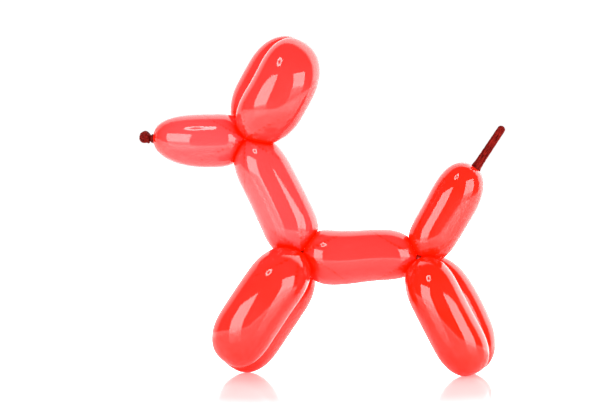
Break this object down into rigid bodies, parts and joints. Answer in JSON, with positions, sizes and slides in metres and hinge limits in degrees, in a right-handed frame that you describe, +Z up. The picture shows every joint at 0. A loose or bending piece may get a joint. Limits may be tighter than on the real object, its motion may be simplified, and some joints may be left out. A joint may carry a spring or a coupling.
{
  "type": "balloon poodle",
  "caption": "Poodle twisted from a single long red latex modelling balloon, with a tied nozzle for its nose and an uninflated tip on its tail.",
  "frame": {"origin": "on the floor, under the middle of the dog's outline", "axes": "+X from the nose to the tail, +Y from the dog's left side to its right side, +Z up"},
  "size_m": [0.3343, 0.1148, 0.3083],
  "materials": {
    "red_latex": "glossy, thin and translucent where it is inflated; darker and duller where it is not"
  },
  "bodies": {
    "root": {"twisted_balloon": "red_latex"}
  },
  "joints": []
}
